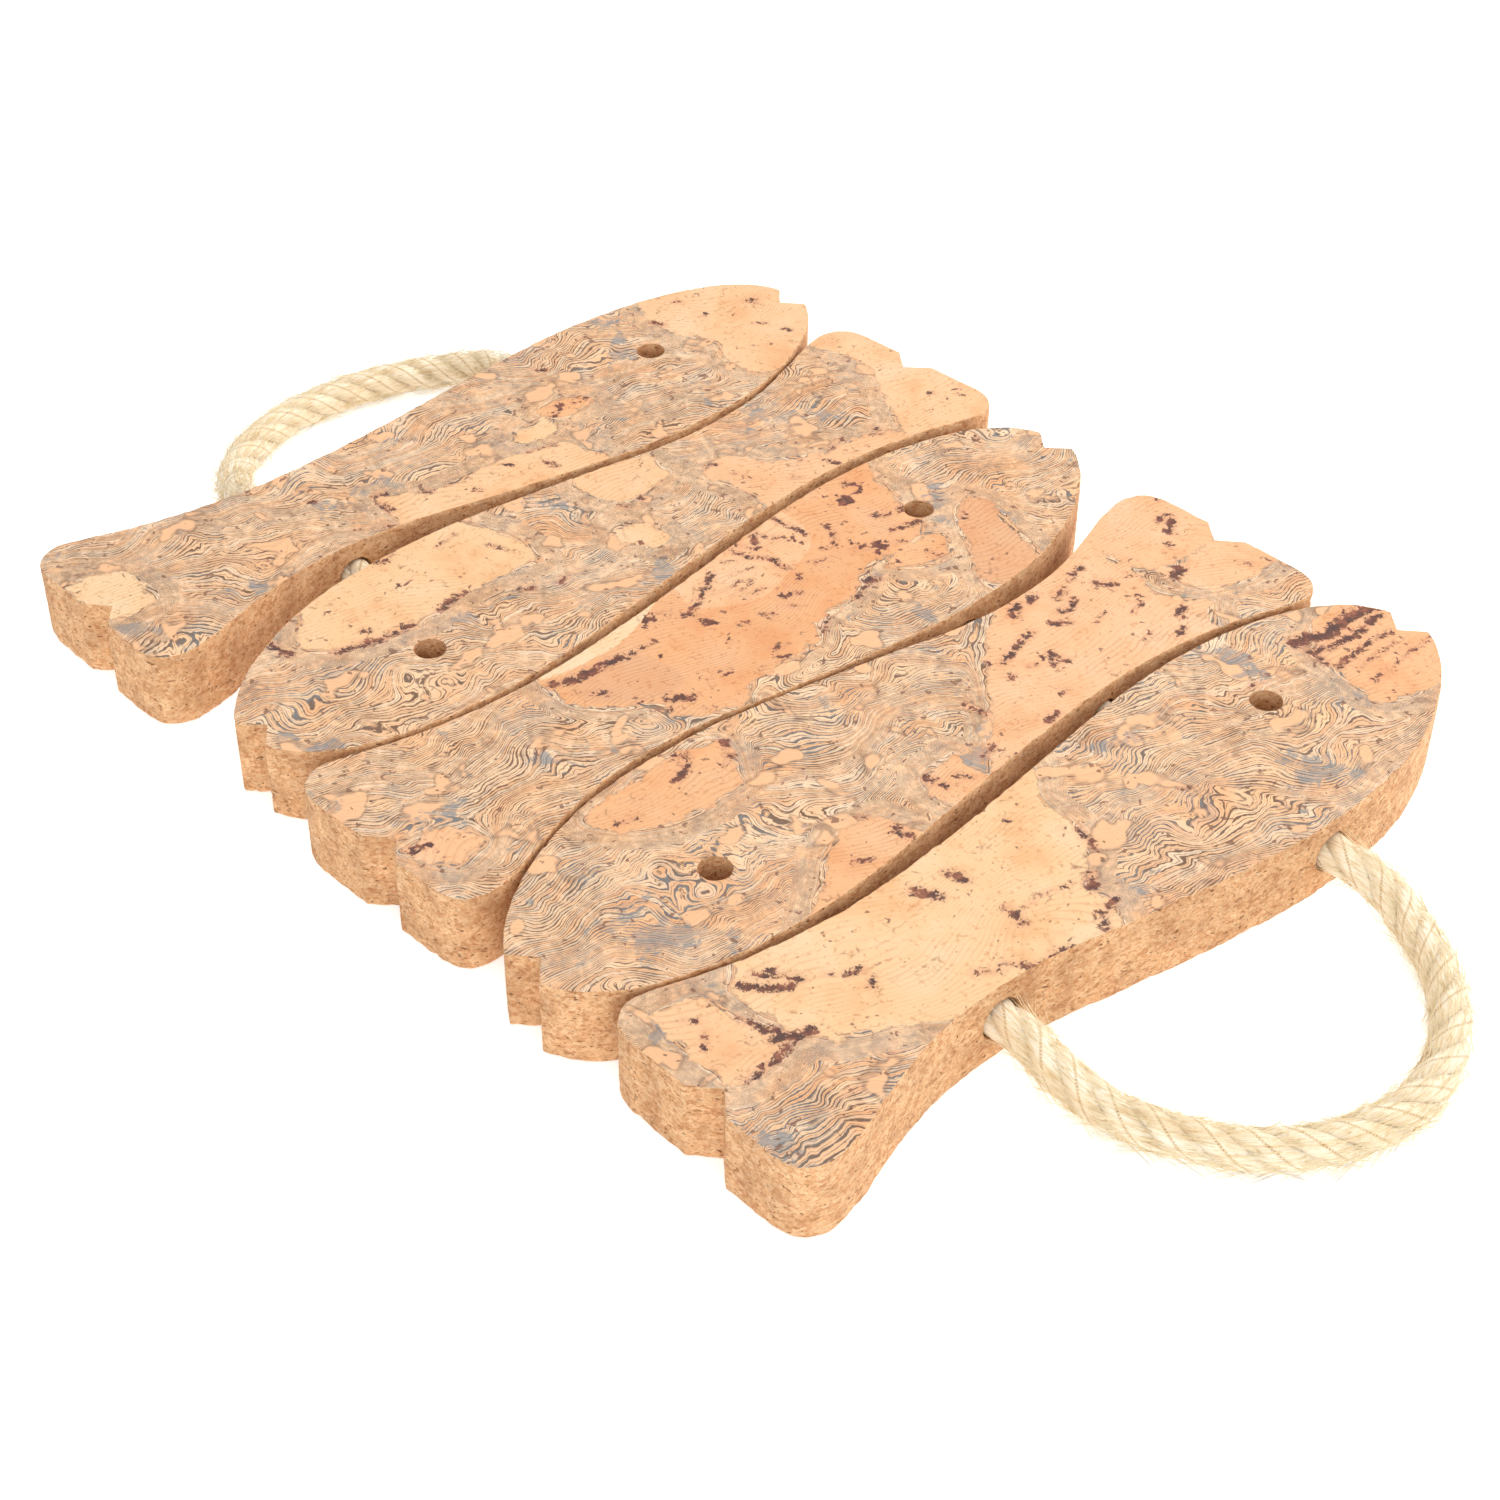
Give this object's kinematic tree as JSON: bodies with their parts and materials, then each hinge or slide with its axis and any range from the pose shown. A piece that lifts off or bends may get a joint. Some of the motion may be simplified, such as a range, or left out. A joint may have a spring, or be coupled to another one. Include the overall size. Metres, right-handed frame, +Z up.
{
  "type": "cork trivet",
  "caption": "Folding table trivet of fish-shaped cork slabs with marbled veneer, threaded side by side on one twisted rope whose loops make the two handles.",
  "frame": {"origin": "on the surface that the trivet lies on, under the middle of the middle slab", "axes": "+Z up, X along the fish, Y across them; the rope runs along Y and the longer handle is at -Y"},
  "size_m": [0.2189, 0.349, 0.0185],
  "materials": {
    "granulated_cork": "sanded agglomerated cork, fine orange-tan grains with dark brown flecks",
    "marbled_cork": "pressed marbled cork veneer, swirled thin layers with grey-blue lines and patches of solid cork",
    "sisal_rope": "three-strand twisted sisal, pale straw, hairy"
  },
  "bodies": {
    "fish_3": {"fish_3_core": "granulated_cork", "fish_3_veneer": "marbled_cork", "rope_in_fish_3_left": "sisal_rope", "rope_in_fish_3_right": "sisal_rope"},
    "fish_4": {"fish_4_core": "granulated_cork", "fish_4_veneer": "marbled_cork", "rope_in_fish_4_left": "sisal_rope", "rope_in_fish_4_right": "sisal_rope"},
    "fish_5": {"fish_5_core": "granulated_cork", "fish_5_veneer": "marbled_cork", "rope_in_fish_5_left": "sisal_rope", "rope_in_fish_5_right": "sisal_rope"},
    "fish_2": {"fish_2_core": "granulated_cork", "fish_2_veneer": "marbled_cork", "rope_in_fish_2_left": "sisal_rope", "rope_in_fish_2_right": "sisal_rope"},
    "fish_1": {"fish_1_core": "granulated_cork", "fish_1_veneer": "marbled_cork", "rope_in_fish_1_left": "sisal_rope", "rope_in_fish_1_right": "sisal_rope"},
    "link_12": {"rope_gap_12_left": "sisal_rope", "rope_gap_12_right": "sisal_rope"},
    "link_23": {"rope_gap_23_left": "sisal_rope", "rope_gap_23_right": "sisal_rope"},
    "link_34": {"rope_gap_34_left": "sisal_rope", "rope_gap_34_right": "sisal_rope"},
    "link_45": {"rope_gap_45_left": "sisal_rope", "rope_gap_45_right": "sisal_rope"},
    "front_handle": {"front_handle": "sisal_rope"},
    "rear_handle": {"rear_handle": "sisal_rope"}
  },
  "joints": [
    {"name": "slide_34", "type": "slide", "parent": "fish_3", "child": "link_34", "axis": [0, -1, 0], "range_m": [0, 0.008]},
    {"name": "fold_34", "type": "hinge", "parent": "link_34", "child": "fish_4", "pos_m": [0, -0.02475, 0.0185], "axis": [1, 0, 0], "range_deg": [-45, 0]},
    {"name": "slide_45", "type": "slide", "parent": "fish_4", "child": "link_45", "axis": [0, -1, 0], "range_m": [0, 0.008]},
    {"name": "fold_45", "type": "hinge", "parent": "link_45", "child": "fish_5", "pos_m": [0, -0.07449, 0.0185], "axis": [1, 0, 0], "range_deg": [-45, 0]},
    {"name": "front_handle_swing", "type": "hinge", "parent": "fish_5", "child": "front_handle", "pos_m": [-0.045, -0.11729, 0.01325], "axis": [-0.9861, 0.1663, 0], "range_deg": [0, 90]},
    {"name": "slide_23", "type": "slide", "parent": "fish_3", "child": "link_23", "axis": [0, 1, 0], "range_m": [0, 0.008]},
    {"name": "fold_23", "type": "hinge", "parent": "link_23", "child": "fish_2", "pos_m": [0, 0.02458, 0.0185], "axis": [-1, 0, 0], "range_deg": [-45, 0]},
    {"name": "slide_12", "type": "slide", "parent": "fish_2", "child": "link_12", "axis": [0, 1, 0], "range_m": [0, 0.008]},
    {"name": "fold_12", "type": "hinge", "parent": "link_12", "child": "fish_1", "pos_m": [0, 0.07497, 0.0185], "axis": [-1, 0, 0], "range_deg": [-45, 0]},
    {"name": "rear_handle_swing", "type": "hinge", "parent": "fish_1", "child": "rear_handle", "pos_m": [-0.045, 0.1231, 0.01325], "axis": [0.9978, 0.0666, 0], "range_deg": [0, 90]}
  ]
}
